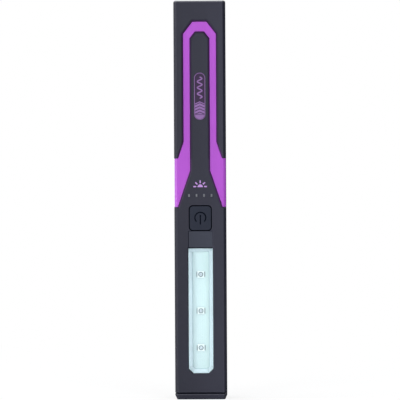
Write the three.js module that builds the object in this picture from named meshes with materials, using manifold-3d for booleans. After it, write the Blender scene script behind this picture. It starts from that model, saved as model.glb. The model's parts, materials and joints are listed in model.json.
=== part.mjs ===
// A hand-held UV curing lamp: three ultraviolet LEDs behind a clear window in the head, a thumb button and
// four charge indicators above them, a lithium cell in the handle, and a swivelling magnetic clip on the
// back.
//
// Millimetres. The lamp stands on its nose: the origin is the centre of the nose face, +Z runs up to the end
// of the handle, the window faces -Y, and +X is on the right when the window is looked at.

import * as THREE from "three";
import { mergeVertices } from "three/addons/utils/BufferGeometryUtils.js";
import Module from "manifold-3d";

const wasm = await Module();
wasm.setup();

// ---- Driving dimensions -------------------------------------------------------------------------------

// Whole lamp
const LENGTH = 200;
const WIDTH = 26.1;
const DEPTH = 24;
const FRONT_BEVEL = 1.5; // along both long front edges
const REAR_RADIUS = 4; // along both long rear edges
const END_CORNER = 1; // corners of the handle's end, seen from the front
const END_REAR_RADIUS = 2.5; // rear corner of the handle's end, seen from the side
const WALL = 1.8;
const SEAM = 0.1; // gap between pieces that meet
const CLEARANCE = 0.2; // gap round pieces that are held loosely or that turn
const SPLIT_Y = -1.5; // plane where the front and rear shells meet
const BEYOND = 3; // how far a cutting tool runs past what it cuts

// Nose
const NOSE_HEIGHT = 2.7;
const NOSE_TAPER = { width: 1.05, depth: 2.3 };
const NOSE_GROOVE = 1; // depth of the groove between the nose and the shells
const SHELL_BOTTOM = 3.6;
const SPIGOT_TOP = 5.6;
const SPIGOT_RIDGE = { bottom: 4.5, top: 5.1, height: 0.35 };

// Purple frame: right-hand halves of the loop's inner and outer edges as [x, z], from the band upwards
const LOOP_INSIDE = [
  [11.25, 96.5],
  [5.05, 114.8],
  [5, 181.1],
  [2.3, 184.55],
];
const LOOP_OUTSIDE = [
  [11, 120.9],
  [8.2, 129.1],
  [8.2, 183.3],
  [3.5, 189.4],
];
const BAND = { inset: 0.2, bottom: 96.5, top: 120.9, bevel: 1.2 };
const FRAME_RECESS = 0.6; // the purple face lies this far behind the black one
const BLACK_EDGE = { width: 0.9, depth: 0.6 }; // bevel of the black edges round the purple
const FRAME_PLATE = { thickness: 1.4, bottom: 106 };

// Badge let into the handle's tongue
const BADGE = { halfWidth: 2.9, bottom: 140.1, top: 163.9, thickness: 0.25, corner: 2.8 };

// Seal in the rear shell's rim
const SEAL = { width: 0.8, height: 0.5, bottom: 5.7, top: 199.5 };

// Supports inside the rear shell: cross walls under the heat spreader and the cell, posts under the board
const RIB = { thickness: 1.4, underSpreader: [28, 60], underCell: [132, 154, 176] };
const POST = { radius: 1.5, x: 7, fromBoardEnd: 2 };

// Window and what lies behind it
const WINDOW = { halfWidth: 6.3, bottom: 12.9, top: 75.9, corner: 2.37 };
const WINDOW_EDGE = { width: 0.35, depth: 0.35 }; // bevel round the opening
const LENS = { recess: 0.35, gap: 0.3, flange: 1.5, flangeThickness: 1 };
const GASKET = 0.35;
const TRAY = { rim: 1.3, slopeWidth: 2.05 };
const LED_BOARD = { halfWidth: 8, bottom: 11.6, top: 81, thickness: 1, front: -6.1 };
const LED_HEIGHTS = [25.6, 44.2, 62.55];
const LED = { side: 3.5, thickness: 0.7, domeRadius: 1.3 };
const THERMAL_PAD = 0.5;
const SPREADER = { halfWidth: 7.8, plate: 2.4, leg: 1.6, legBack: 3.9, bottom: 12.5, top: 77 };

// Button
const BUTTON_Z = 90.9;
const BUTTON_OPENING = { halfWidth: 5.8, halfHeight: 6.5, radius: 2 };
const BUTTON_CAP = { halfWidth: 5.3, halfHeight: 5.95, radius: 1.6, flange: 1.5, flangeThickness: 0.7 };
const BUTTON_TRAVEL = 0.5;
const BUTTON_STEM_RADIUS = 1.6;
const POWER_MARK = { radius: 2.75, stroke: 0.6, depth: 0.25, barLow: -3.2, barHigh: 1.7, rise: 0.2 };
const BUTTON_MOUTH = { width: 0.15, depth: 0.15 }; // bevel round the button's opening
const FIELD = { halfWidth: 5.9, edge: { width: 0.35, depth: 0.4 } }; // channel from the window to the button

// Circuit board behind the button
const BOARD = { halfWidth: 9, bottom: 79, top: 113, front: -1.6, back: 0 };
const SWITCH = { side: 6, height: 3.5, plungerRadius: 1.6, plungerOut: 0.8, plungerIn: 0.7 };
const INDICATOR_Z = 102.3;
const INDICATOR_X = [-5.65, -1.88, 1.88, 5.65];
const INDICATOR_PIN = { width: 0.65, height: 1.25, recess: 0.05 };
const INDICATOR_CHIP = { halfWidth: 0.4, halfHeight: 0.8, depth: 0.7 };
const GUIDE_BAR = { halfWidth: 6.8, halfHeight: 1.1, fromCover: 0.3, depth: 1.3 };
const GUIDE_LEG = { halfWidth: 0.6, halfHeight: 0.8 };
const CHARGE_CHIP = { left: 2.5, right: 6.5, bottom: 92, top: 96, back: 1.2 };
const INDUCTOR = { radius: 2.6, back: 3.1, x: 3.6, z: 86.5, sides: 8 };
const USB = { z: 88, halfWidth: 4.5, height: 3.2, mouthX: -9.4, length: 7.3, corner: 1.2 };
const USB_MOUTH = { wall: 0.3, depth: 5.5 };
const USB_TONGUE = { halfWidth: 3.2, thickness: 0.7, fromMouth: 0.8, length: 5.2 };

// Port flap on the left side, hinged along its rear edge
const PORT_RECESS = { front: -0.5, rear: 7.6, bottom: 79.8, top: 96.2, floorX: -11 };
const PORT_BOSS = { innerX: -9.5, front: -0.9, rear: 8.6, bottom: 78, top: 98 };
const FLAP = { outerX: -12.85, thickness: 1.5, front: -0.2, rear: 5.2, bottom: 80.1, top: 95.9 };
const FLAP_PLUG = { front: 0.6, rear: 2.8, halfHeight: 3.6, depth: 0.8 };
const FLAP_NOTCH = { radius: 1.6, length: 0.7 };
const FLAP_PIN = { x: -11.95, y: 6.3, radius: 0.5, hole: 0.58, knuckle: 0.9, bottom: 84, top: 92 };

// Cell and housing screws
const CELL = { radius: 9.2, length: 65, bottom: 122.5, y: 0.7, edge: 0.5 };
const CELL_CRIMP = { low: 3.4, middle: 2.9, high: 2.4, shoulder: 0.9, depth: 0.4 }; // below the cell's top
const CELL_TERMINAL = { radius: 3.2, height: 0.5 };
const FOAM_UPPER = { radius: 5, thickness: 2.4 };
const FOAM_LOWER = { radius: 6, thickness: 2.2 };
const SCREW_PLACES = [
  [8, 8.8],
  [6.6, 116.9],
  [7, 193.4],
];
const SCREW = { shank: 1.1, length: 11.6, head: 2.2, headHeight: 1.6, headY: 10.4, tip: 0.6, tipLength: 1 };
const SCREW_HEAD_EDGE = { width: 0.4, depth: 0.3 };
const SCREW_CROSS = { width: 0.45, reach: 1.3, depth: 0.7 };
const BOSS = { radius: 2.4, rearRadius: 3, pilot: 1.2, clearance: 1.45, counterbore: 2.6 };

// Wires: the points [x, y, z] that each one's middle passes
const WIRE_RADIUS = 0.5;
const CELL_RED_ROUTE = [
  [6.9, -2.5, 188.3],
  [9.2, -5.2, 187.6],
  [10.2, -7.6, 182],
  [10.2, -7.6, 174],
  [10.2, -7.6, 130],
  [10.2, -7.6, 122],
  [9.9, -6.6, 114],
  [8, -2.3, 110.5],
];
const CELL_BLACK_ROUTE = [
  [-6.9, -2.5, 121.6],
  [-9.6, -4.6, 120.4],
  [-10.2, -6.2, 116],
  [-9.4, -4.6, 112],
  [-7.4, -2.3, 110.5],
];
const LED_WIRE_X = 3.4; // the red wire's, and minus the black wire's
const LED_WIRE_ROUTE = [
  [-6.8, 79],
  [-7.1, 81.6],
  [-5, 84],
  [-2.4, 82],
];

// Clip and magnet
const CLIP_Z = 108;
const CLIP = { thickness: 1, halfWidth: 4.5, baseRadius: 8, gap: 0.15, tipRadius: 3, tip: 62 };
const CLIP_LINE = [
  [0, -9],
  [0, 0],
  [0, 9],
  [0.5, 12.5],
  [1.9, 17],
  [2.3, 24],
  [1.9, 36],
  [0.5, 52],
  [0.3, 56],
  [1.3, CLIP.tip],
]; // the arm's middle line: distance from where it lies flat, and height above the pivot
const MAGNET = { radius: 8, thickness: 3, edge: 0.3, hole: 1.9, sinkRadius: 3.4, sinkDepth: 1.9 };
const PIVOT = { shank: 1.45, head: 3.1, headHeight: 1.6, end: 4.8, hole: 1.8, bossRadius: 4.5, bossY: 8.9 };
const PIVOT_HEAD = { sunk: 0.15, rim: 0.2 };
const PIVOT_CROSS = { width: 0.6, reach: 1.7, depth: 0.9 };
const NUT = { radius: 3.1, front: 5.4, back: 7.8, gap: 0.08, sides: 6 };
const WASHER = { radius: 3.5, front: 7.95, back: 8.7 };

// Derived
const FRONT_Y = -DEPTH / 2;
const REAR_Y = DEPTH / 2;
const INNER_FRONT = FRONT_Y + WALL;
const INNER_REAR = REAR_Y - WALL;
const INNER_X = WIDTH / 2 - WALL;
const FRAME_FRONT = FRONT_Y + FRAME_RECESS;
const FRAME_BACK = INNER_FRONT + SEAM + FRAME_PLATE.thickness;
const LENS_FRONT = INNER_FRONT + SEAM + GASKET;
const LENS_BACK = LENS_FRONT + LENS.flangeThickness;
const MAGNET_FRONT = REAR_Y + CLIP.gap + CLIP.thickness + SEAM;
const MAGNET_BACK = MAGNET_FRONT + MAGNET.thickness;
const LED_BOARD_BACK = LED_BOARD.front + LED_BOARD.thickness;
const LED_SEAT = LED_BOARD.front - SEAM / 2;
const SWITCH_FRONT = BOARD.front - SEAM / 2 - SWITCH.height;
const PLUNGER_FRONT = SWITCH_FRONT - SWITCH.plungerOut;
const CHIP_FRONT = BOARD.front - SEAM / 2 - INDICATOR_CHIP.depth;
const USB_FRONT = BOARD.back + SEAM;
const CELL_TOP = CELL.bottom + CELL.length;

// ---- Tools --------------------------------------------------------------------------------------------

// A closed three.js geometry as a solid that can be joined and cut.
function solid(geometry) {
  geometry.deleteAttribute("normal");
  geometry.deleteAttribute("uv");
  const merged = mergeVertices(geometry, 1e-4);
  return new wasm.Manifold(
    new wasm.Mesh({
      numProp: 3,
      vertProperties: merged.attributes.position.array,
      triVerts: new Uint32Array(merged.index.array),
    }),
  );
}

// Points of an arc round a centre, both ends included.
function arc(x, y, radius, from, to, steps) {
  return Array.from({ length: steps + 1 }, (_, i) => {
    const angle = from + ((to - from) * i) / steps;
    return [x + radius * Math.cos(angle), y + radius * Math.sin(angle)];
  });
}

// A closed outline through points [x, y], anticlockwise. A third value rounds that corner to this radius.
function outline(points, steps = 6) {
  const corners = points.map(([x, y]) => new THREE.Vector2(x, y));
  const path = points.flatMap(([x, y, radius], i) => {
    if (!radius) return [[x, y]];
    const back = corners.at(i - 1).clone().sub(corners[i]).normalize();
    const ahead = corners[(i + 1) % corners.length].clone().sub(corners[i]).normalize();
    const half = Math.acos(back.dot(ahead)) / 2;
    const middle = back.clone().add(ahead).normalize().multiplyScalar(radius / Math.sin(half));
    const turn = back.cross(ahead) < 0 ? 1 : -1;
    const start = Math.atan2(turn * back.x, -turn * back.y);
    return arc(x + middle.x, y + middle.y, radius, start, start + turn * (Math.PI - 2 * half), steps);
  });
  return new THREE.Shape(path.map(([x, y]) => new THREE.Vector2(x, y)));
}

// Right-hand points, lowest first, followed by their mirror images.
function mirrored(points) {
  const left = points.map(([x, ...rest]) => [-x, ...rest]).reverse();
  return [...points, ...left];
}

// A rectangle in an outline's own plane.
function rectangle(x0, x1, y0, y1, radius = 0, steps = 6) {
  return outline([[x0, y0, radius], [x1, y0, radius], [x1, y1, radius], [x0, y1, radius]], steps);
}

// An outline in XY carried from one height to another.
function column(shape, bottom, top) {
  const geometry = new THREE.ExtrudeGeometry(shape, { depth: top - bottom, bevelEnabled: false });
  return solid(geometry.translate(0, 0, bottom));
}

// An outline in XZ carried from a front Y to a back Y.
function plate(shape, front, back) {
  const geometry = new THREE.ExtrudeGeometry(shape, { depth: back - front, bevelEnabled: false });
  return solid(geometry.rotateX(Math.PI / 2).translate(0, back, 0));
}

// An outline in YZ carried from one X to another.
function sideways(shape, left, right) {
  const geometry = new THREE.ExtrudeGeometry(shape, { depth: right - left, bevelEnabled: false });
  const turn = new THREE.Matrix4().makeBasis(
    new THREE.Vector3(0, 1, 0),
    new THREE.Vector3(0, 0, 1),
    new THREE.Vector3(1, 0, 0),
  );
  return solid(geometry.applyMatrix4(turn).translate(left, 0, 0));
}

// An outline in XZ with its front edge bevelled, ending in a square back.
function bevelledPlate(shape, front, back, bevel) {
  const geometry = new THREE.ExtrudeGeometry(shape, {
    depth: back - front - bevel.depth,
    bevelThickness: bevel.depth,
    bevelSize: bevel.width,
    bevelOffset: -bevel.width,
    bevelSegments: 1,
  });
  const both = solid(geometry.rotateX(Math.PI / 2).translate(0, back, 0));
  return both.subtract(block([-LENGTH, LENGTH], [back, back + LENGTH], [-LENGTH, 2 * LENGTH]));
}

// A tool that cuts an XZ outline at a given depth behind a front face, and wider by the bevel at that face.
function flaredCutter(shape, front, bevel) {
  const geometry = new THREE.ExtrudeGeometry(shape, {
    depth: BEYOND,
    bevelThickness: bevel.depth,
    bevelSize: bevel.width,
    bevelOffset: 0,
    bevelSegments: 1,
  });
  return solid(geometry.rotateX(Math.PI / 2).translate(0, front, 0));
}

// A rectangular block between pairs of limits.
function block([x0, x1], [y0, y1], [z0, z1]) {
  const geometry = new THREE.BoxGeometry(x1 - x0, y1 - y0, z1 - z0);
  return solid(geometry.translate((x0 + x1) / 2, (y0 + y1) / 2, (z0 + z1) / 2));
}

// A round bar along Y at a given X and Z.
function barY(radius, front, back, x, z, sides = 16) {
  const geometry = new THREE.CylinderGeometry(radius, radius, back - front, sides);
  return solid(geometry.translate(x, (front + back) / 2, z));
}

// A round bar along Z at a given X and Y.
function barZ(radius, bottom, top, x, y, sides = 16) {
  const geometry = new THREE.CylinderGeometry(radius, radius, top - bottom, sides);
  return solid(geometry.rotateX(Math.PI / 2).translate(x, y, (bottom + top) / 2));
}

// A profile of [radius, y] turned about the Y axis.
function turned(profile, sides) {
  return solid(new THREE.LatheGeometry(profile.map(([r, y]) => new THREE.Vector2(r, y)), sides));
}

// A round wire along a smooth curve through points.
function wire(points, radius) {
  const sides = 8;
  const curve = new THREE.CatmullRomCurve3(points.map((point) => new THREE.Vector3(...point)));
  const ring = arc(0, 0, radius, 0, 2 * Math.PI, sides).slice(1);
  const section = new THREE.Shape(ring.map((point) => new THREE.Vector2(...point)));
  return solid(new THREE.ExtrudeGeometry(section, { extrudePath: curve, steps: 4 * points.length }));
}

// Two crossing slots for the top of a screw head that faces +Y.
function crossRecess({ width, reach, depth }, top) {
  const ends = [-reach, reach];
  const sides = [-width / 2, width / 2];
  const along = [top - depth, top + BEYOND];
  return [block(ends, along, sides), block(sides, along, ends)];
}

function joined(solids) {
  return solids.reduce((whole, piece) => whole.add(piece));
}

function cut(whole, tools) {
  return tools.reduce((rest, tool) => rest.subtract(tool), whole);
}

// A named mesh with a material of its own.
function part(name, shape, [color, roughness, metalness]) {
  const { numProp, vertProperties, triVerts } = shape.getMesh();
  const geometry = new THREE.BufferGeometry();
  const positions = Float32Array.from({ length: (vertProperties.length / numProp) * 3 }, (_, i) =>
    vertProperties[Math.floor(i / 3) * numProp + (i % 3)],
  );
  geometry.setAttribute("position", new THREE.BufferAttribute(positions, 3));
  geometry.setIndex(new THREE.BufferAttribute(new Uint32Array(triVerts), 1));
  geometry.computeVertexNormals();
  const material = new THREE.MeshStandardMaterial({ color, roughness, metalness, flatShading: true });
  const mesh = new THREE.Mesh(geometry, material);
  mesh.name = name;
  return mesh;
}

function placed(mesh, x, y, z) {
  mesh.position.set(x, y, z);
  return mesh;
}

function group(...members) {
  const whole = new THREE.Group();
  whole.add(...members);
  return whole;
}

// ---- Finishes: colour, roughness, metalness -----------------------------------------------------------

const BLACK_PLASTIC = [0x3c3d47, 0.55, 0];
const PURPLE_PLASTIC = [0xba58d0, 0.35, 0];
const BUTTON_PLASTIC = [0x30333d, 0.5, 0];
const BADGE_FILM = [0x7a6a8c, 0.4, 0];
const CLEAR_PLASTIC = [0xe8f6fa, 0.08, 0];
const WHITE_PLASTIC = [0xf0f4f6, 0.5, 0];
const RUBBER = [0x1a1b20, 0.8, 0];
const BOARD_WHITE = [0xe9f1f4, 0.4, 0];
const BOARD_GREEN = [0x1d5a3a, 0.4, 0];
const CERAMIC = [0xf5f5f0, 0.5, 0];
const SILICONE = [0xd9e2ea, 0.15, 0];
const PAD_GREY = [0x8f9bb0, 0.9, 0];
const ALUMINIUM = [0xb9bcc0, 0.4, 1];
const STEEL = [0xc4c6ca, 0.3, 1];
const NICKEL = [0xd2d3d4, 0.22, 1];
const DARK_STEEL = [0x3a3a3d, 0.45, 1];
const CHIP_BLACK = [0x191a1c, 0.5, 0];
const CELL_SLEEVE = [0x2f6f9e, 0.4, 0];
const RED_WIRE = [0xb8231f, 0.5, 0];
const BLACK_WIRE = [0x16171a, 0.5, 0];

// ---- Shells -------------------------------------------------------------------------------------------

// The body's cross-section, smaller all round by the inset.
function bodySection(inset) {
  const x = WIDTH / 2 - inset;
  const y = DEPTH / 2 - inset;
  const bevel = FRONT_BEVEL - inset * (2 - Math.SQRT2);
  return outline(mirrored([[x - bevel, -y], [x, bevel - y], [x, y, REAR_RADIUS - inset]]));
}

// The outer block of the handle and head with its rounded end.
function bodyBlock() {
  const corners = outline(mirrored([[WIDTH / 2, -BEYOND], [WIDTH / 2, LENGTH, END_CORNER]]));
  const sideView = outline([
    [FRONT_Y, -BEYOND],
    [REAR_Y, -BEYOND],
    [REAR_Y, LENGTH, END_REAR_RADIUS],
    [FRONT_Y, LENGTH, END_CORNER],
  ]);
  return column(bodySection(0), SHELL_BOTTOM, LENGTH)
    .intersect(plate(corners, FRONT_Y - BEYOND, REAR_Y + BEYOND))
    .intersect(sideways(sideView, -WIDTH, WIDTH));
}

// The body hollowed out, open at the bottom, with the groove that holds the nose cap.
function hollowBody() {
  const cavity = column(bodySection(WALL), SHELL_BOTTOM - BEYOND, LENGTH - WALL);
  const groove = column(
    bodySection(WALL - SPIGOT_RIDGE.height - SEAM),
    SPIGOT_RIDGE.bottom - SEAM,
    SPIGOT_RIDGE.top + SEAM,
  );
  return cut(bodyBlock(), [cavity, groove]);
}

const inFront = block([-WIDTH, WIDTH], [FRONT_Y - BEYOND, SPLIT_Y], [-BEYOND, LENGTH + BEYOND]);
const behind = block([-WIDTH, WIDTH], [SPLIT_Y, REAR_Y + BEYOND], [-BEYOND, LENGTH + BEYOND]);
const body = hollowBody();

// One edge of the loop moved outwards (or inwards, if negative) by a gap.
function shifted(edge, gap) {
  return edge.map(([x, z]) => [x + gap, z + gap]);
}

// The window's outline, smaller all round by the inset. Its bottom corners are cut off.
function windowShape(inset) {
  const x = WINDOW.halfWidth - inset;
  const bottom = WINDOW.bottom + inset;
  const corner = WINDOW.corner - inset * (2 - Math.SQRT2);
  return outline(mirrored([[x - corner, bottom], [x, bottom + corner], [x, WINDOW.top - inset]]));
}

// A round-cornered outline about the button's centre.
function buttonShape({ halfWidth, halfHeight, radius }, extra = 0) {
  return rectangle(
    -halfWidth - extra,
    halfWidth + extra,
    BUTTON_Z - halfHeight - extra,
    BUTTON_Z + halfHeight + extra,
    radius,
  );
}

// The badge's outline: a narrow pill, smaller by the inset.
function badgeShape(inset) {
  const x = BADGE.halfWidth - inset;
  return rectangle(-x, x, BADGE.bottom + inset, BADGE.top - inset, BADGE.corner - inset, 8);
}

// Round bosses at one pair of screw places, left and right.
function screwPairs([x, z], radius, front, back) {
  return [-x, x].map((side) => barY(radius, front, back, side, z));
}

// The head's front shell with the tongue that runs up the handle, and its openings.
function frontCover() {
  const sideX = WIDTH / 2 + BEYOND;
  const face = outline(
    mirrored([[sideX, -BEYOND], [sideX, BAND.bottom - SEAM], ...shifted(LOOP_INSIDE, -SEAM / 2)]),
  );
  const shell = body
    .intersect(inFront)
    .intersect(bevelledPlate(face, FRONT_Y, REAR_Y, BLACK_EDGE));
  const bosses = screwPairs(SCREW_PLACES[0], BOSS.radius, INNER_FRONT - SEAM, SPLIT_Y - SEAM / 2);
  const field = flaredCutter(
    rectangle(-FIELD.halfWidth, FIELD.halfWidth, WINDOW.top - SEAM, BUTTON_Z - BUTTON_OPENING.halfHeight),
    FRONT_Y,
    FIELD.edge,
  );
  const { width, height } = INDICATOR_PIN;
  const slots = INDICATOR_X.map((x) =>
    atIndicator(x, width / 2 + SEAM, height / 2 + SEAM, FRONT_Y - BEYOND, INNER_FRONT + BEYOND),
  );
  return cut(joined([shell, ...bosses]), [
    plate(windowShape(0), FRONT_Y - BEYOND, INNER_FRONT + BEYOND),
    flaredCutter(windowShape(0), FRONT_Y, WINDOW_EDGE),
    plate(buttonShape(BUTTON_OPENING), FRONT_Y - BEYOND, INNER_FRONT + BEYOND),
    flaredCutter(buttonShape(BUTTON_OPENING), FRONT_Y, BUTTON_MOUTH),
    plate(badgeShape(0), FRONT_Y - BEYOND, FRONT_Y + BADGE.thickness + SEAM / 2),
    field,
    ...slots,
    ...screwPairs(SCREW_PLACES[0], BOSS.pilot, INNER_FRONT + SEAM, 0),
  ]);
}

// The purple frame: the loop, the band round the sides, and the plate behind the tongue with screw bosses.
function trimFrame() {
  const inside = shifted(LOOP_INSIDE, SEAM / 2);
  const outside = shifted(LOOP_OUTSIDE, -SEAM / 2);
  const sideX = WIDTH / 2 + BEYOND;
  const right = [[sideX, BAND.bottom], [sideX, BAND.top], ...outside];
  const purple = outline([
    ...right,
    ...right.map(([x, z]) => [-x, z]).reverse(),
    ...inside.map(([x, z]) => [-x, z]),
    ...inside.reverse(),
  ]);
  const x = WIDTH / 2 - BAND.inset;
  const section = outline(
    mirrored([[x - BAND.bevel, FRAME_FRONT], [x, FRAME_FRONT + BAND.bevel], [x, SPLIT_Y]]),
  );
  const cavity = column(bodySection(WALL), 0, LENGTH);
  const loop = column(section, BAND.bottom, LENGTH)
    .intersect(plate(purple, FRAME_FRONT, SPLIT_Y));
  const sides = block([-WIDTH, WIDTH], [FRAME_FRONT - BEYOND, SPLIT_Y], [BAND.bottom, BAND.top]);
  const pad = block([-WIDTH, WIDTH], [FRAME_FRONT - BEYOND, INNER_FRONT + SEAM], [BAND.bottom, LENGTH]);
  const back = block(
    [-INNER_X + SEAM, INNER_X - SEAM],
    [INNER_FRONT + SEAM, FRAME_BACK],
    [FRAME_PLATE.bottom, LENGTH - WALL - SEAM],
  ).intersect(column(bodySection(WALL + SEAM), 0, LENGTH));
  const [, middle, upper] = SCREW_PLACES;
  const bosses = [middle, upper].flatMap((place) =>
    screwPairs(place, BOSS.radius, FRAME_BACK - SEAM, SPLIT_Y - SEAM / 2),
  );
  const pilots = [middle, upper].flatMap((place) => screwPairs(place, BOSS.pilot, FRAME_BACK, 0));
  const shell = joined([loop.intersect(sides).subtract(cavity), loop.intersect(pad)]);
  return cut(joined([shell, back, ...bosses]), pilots);
}

// The handle's front and sides round the purple loop.
function handleCover() {
  const opening = outline(
    mirrored([[LOOP_OUTSIDE[0][0] + SEAM / 2, BAND.bottom], ...shifted(LOOP_OUTSIDE, SEAM / 2)]),
  );
  const below = block([-WIDTH, WIDTH], [FRONT_Y - BEYOND, REAR_Y], [-BEYOND, BAND.top + SEAM]);
  return cut(body.intersect(inFront), [
    plate(opening, FRONT_Y - BEYOND, INNER_FRONT + BEYOND),
    flaredCutter(opening, FRONT_Y, BLACK_EDGE),
    below,
  ]);
}

// A cross wall of the rear shell, from a front Y to the back wall.
function rib(front, z) {
  const x = INNER_X + SEAM;
  return block([-x, x], [front, INNER_REAR + SEAM], [z, z + RIB.thickness]);
}

// Cross walls that hold the heat spreader's legs and the cell, and posts under the circuit board.
function rearSupports() {
  const cellBed = barZ(CELL.radius + CLEARANCE, CELL.bottom, CELL_TOP, 0, CELL.y, 32);
  const saddles = RIB.underCell.flatMap((z) => rib(CELL.y, z).subtract(cellBed).decompose());
  const posts = [BOARD.bottom + POST.fromBoardEnd, BOARD.top - POST.fromBoardEnd].flatMap((z) =>
    [-POST.x, POST.x].map((x) => barY(POST.radius, BOARD.back + SEAM, INNER_REAR + SEAM, x, z)),
  );
  return [...RIB.underSpreader.map((z) => rib(SPREADER.legBack + SEAM, z)), ...saddles, ...posts];
}

// The groove in the rear shell's rim that the seal lies in: up one side, over the end and down the other.
function sealShape(gap) {
  const x = WIDTH / 2 - WALL / 2 + SEAL.width / 2;
  const low = SEAL.bottom - gap;
  const outer = [[x + gap, low], [x + gap, SEAL.top + gap]];
  const inner = [[x - SEAL.width - gap, low], [x - SEAL.width - gap, SEAL.top - SEAL.width - gap]];
  return outline([
    ...outer,
    ...outer.map(([px, z]) => [-px, z]).reverse(),
    ...inner.map(([px, z]) => [-px, z]),
    ...inner.reverse(),
  ]);
}

// The socket's outline in YZ, smaller all round by the inset.
function usbShape(inset) {
  const halfHeight = USB.halfWidth - inset;
  return rectangle(
    USB_FRONT + inset,
    USB_FRONT + USB.height - inset,
    USB.z - halfHeight,
    USB.z + halfHeight,
    USB.corner - inset,
  );
}

// The flap's recess and the hole that the socket's mouth shows through.
function portCuts() {
  const { front, rear, bottom, top, floorX } = PORT_RECESS;
  const recess = block([-WIDTH, floorX], [front, rear], [bottom, top]);
  const mouth = sideways(usbShape(-CLEARANCE), -WIDTH, PORT_BOSS.innerX + BEYOND);
  return [recess, mouth];
}

// Two lugs that hold the ends of the flap's pin.
function flapLugs() {
  const { x, y, knuckle, bottom, top } = FLAP_PIN;
  return [[FLAP.bottom, bottom - CLEARANCE], [top + CLEARANCE, FLAP.top]].map(([z0, z1]) =>
    barZ(knuckle, z0, z1, x, y).add(
      block([x, PORT_RECESS.floorX + SEAM], [y - knuckle, y + knuckle], [z0, z1]),
    ),
  );
}

// The rear shell with its bosses, ribs, flap recess and pivot hole.
function rearCover() {
  const { innerX, front, rear, bottom, top } = PORT_BOSS;
  const portBoss = block([-INNER_X - SEAM, innerX], [front, rear], [bottom, top]);
  const pivotBoss = barY(PIVOT.bossRadius, PIVOT.bossY, INNER_REAR + SEAM, 0, CLIP_Z);
  const screwBosses = SCREW_PLACES.flatMap((place) =>
    screwPairs(place, BOSS.rearRadius, SPLIT_Y + SEAM / 2, INNER_REAR + SEAM),
  );
  const screwHoles = SCREW_PLACES.flatMap((place) => [
    ...screwPairs(place, BOSS.clearance, SPLIT_Y - BEYOND, REAR_Y),
    ...screwPairs(place, BOSS.counterbore, SCREW.headY - SCREW.headHeight, REAR_Y + BEYOND),
  ]);
  const shell = joined([
    body.intersect(behind),
    portBoss,
    pivotBoss,
    ...screwBosses.map((boss) => boss.intersect(column(bodySection(WALL / 2), 0, LENGTH))),
    ...rearSupports(),
  ]);
  const pinHole = barZ(
    FLAP_PIN.hole,
    FLAP.bottom - CLEARANCE,
    FLAP.top + CLEARANCE,
    FLAP_PIN.x,
    FLAP_PIN.y,
  );
  return cut(joined([cut(shell, portCuts()), ...flapLugs()]), [
    ...screwHoles,
    pinHole,
    barY(PIVOT.hole, 0, REAR_Y + BEYOND, 0, CLIP_Z),
    plate(sealShape(SEAM), SPLIT_Y - BEYOND, SPLIT_Y + SEAL.height),
  ]);
}

// The tapered end cap and the spigot that snaps into the shells.
function noseCap() {
  const cap = new THREE.ExtrudeGeometry(bodySection(0), {
    depth: NOSE_HEIGHT - NOSE_TAPER.depth,
    bevelThickness: NOSE_TAPER.depth,
    bevelSize: NOSE_TAPER.width,
    bevelOffset: -NOSE_TAPER.width,
    bevelSegments: 1,
  }).translate(0, 0, NOSE_TAPER.depth);
  const above = block([-WIDTH, WIDTH], [-DEPTH, DEPTH], [NOSE_HEIGHT, LENGTH]);
  const spigot = bodySection(WALL + SEAM);
  const ridge = bodySection(WALL - SPIGOT_RIDGE.height);
  return joined([
    solid(cap).subtract(above),
    column(bodySection(NOSE_GROOVE), NOSE_HEIGHT - SEAM, SHELL_BOTTOM - SEAM),
    column(spigot, NOSE_HEIGHT - SEAM, SPIGOT_TOP),
    column(ridge, SPIGOT_RIDGE.bottom, SPIGOT_RIDGE.top),
  ]);
}

function housingSeal() {
  return plate(sealShape(0), SPLIT_Y + SEAM / 2, SPLIT_Y + SEAL.height - SEAM / 2);
}

const shells = group(
  part("front_cover", frontCover(), BLACK_PLASTIC),
  part("trim_frame", trimFrame(), PURPLE_PLASTIC),
  part("handle_cover", handleCover(), BLACK_PLASTIC),
  part("rear_cover", rearCover(), BLACK_PLASTIC),
  part("nose_cap", noseCap(), BLACK_PLASTIC),
  part("badge_plate", plate(badgeShape(SEAM / 2), FRONT_Y, FRONT_Y + BADGE.thickness), BADGE_FILM),
  part("housing_seal", housingSeal(), RUBBER),
);

// ---- Light source -------------------------------------------------------------------------------------

// The clear window, which fills the opening, with a flange behind it.
function lensWindow() {
  return joined([
    plate(windowShape(LENS.gap), FRONT_Y + LENS.recess, LENS_BACK),
    plate(windowShape(-LENS.flange), LENS_FRONT, LENS_BACK),
  ]);
}

// A rubber ring round the window's raised part, between its flange and the cover.
function lensGasket() {
  const ring = plate(windowShape(-LENS.flange), INNER_FRONT + SEAM / 2, LENS_FRONT - SEAM / 2);
  return ring.subtract(plate(windowShape(LENS.gap - SEAM), FRONT_Y, 0));
}

// A frame whose inner faces slope from the window's outline down to the LED board.
function reflectorTray() {
  const front = LENS_BACK + SEAM;
  const back = LED_BOARD.front - SEAM;
  const slope = { width: TRAY.slopeWidth, depth: back - front };
  const floorShape = windowShape(TRAY.slopeWidth);
  return cut(plate(windowShape(-TRAY.rim), front, back), [
    flaredCutter(floorShape, front, slope),
    plate(floorShape, FRONT_Y, 0),
  ]);
}

// A U-section aluminium bar: a plate behind the LED board and a leg along each edge.
function heatSpreader() {
  const { halfWidth, plate: thickness, leg, legBack, bottom, top } = SPREADER;
  const front = LED_BOARD.front + LED_BOARD.thickness + THERMAL_PAD + 2 * SEAM;
  const section = outline([
    [-halfWidth, front],
    [halfWidth, front],
    [halfWidth, legBack],
    [halfWidth - leg, legBack],
    [halfWidth - leg, front + thickness],
    [leg - halfWidth, front + thickness],
    [leg - halfWidth, legBack],
    [-halfWidth, legBack],
  ]);
  return column(section, bottom, top);
}

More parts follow.
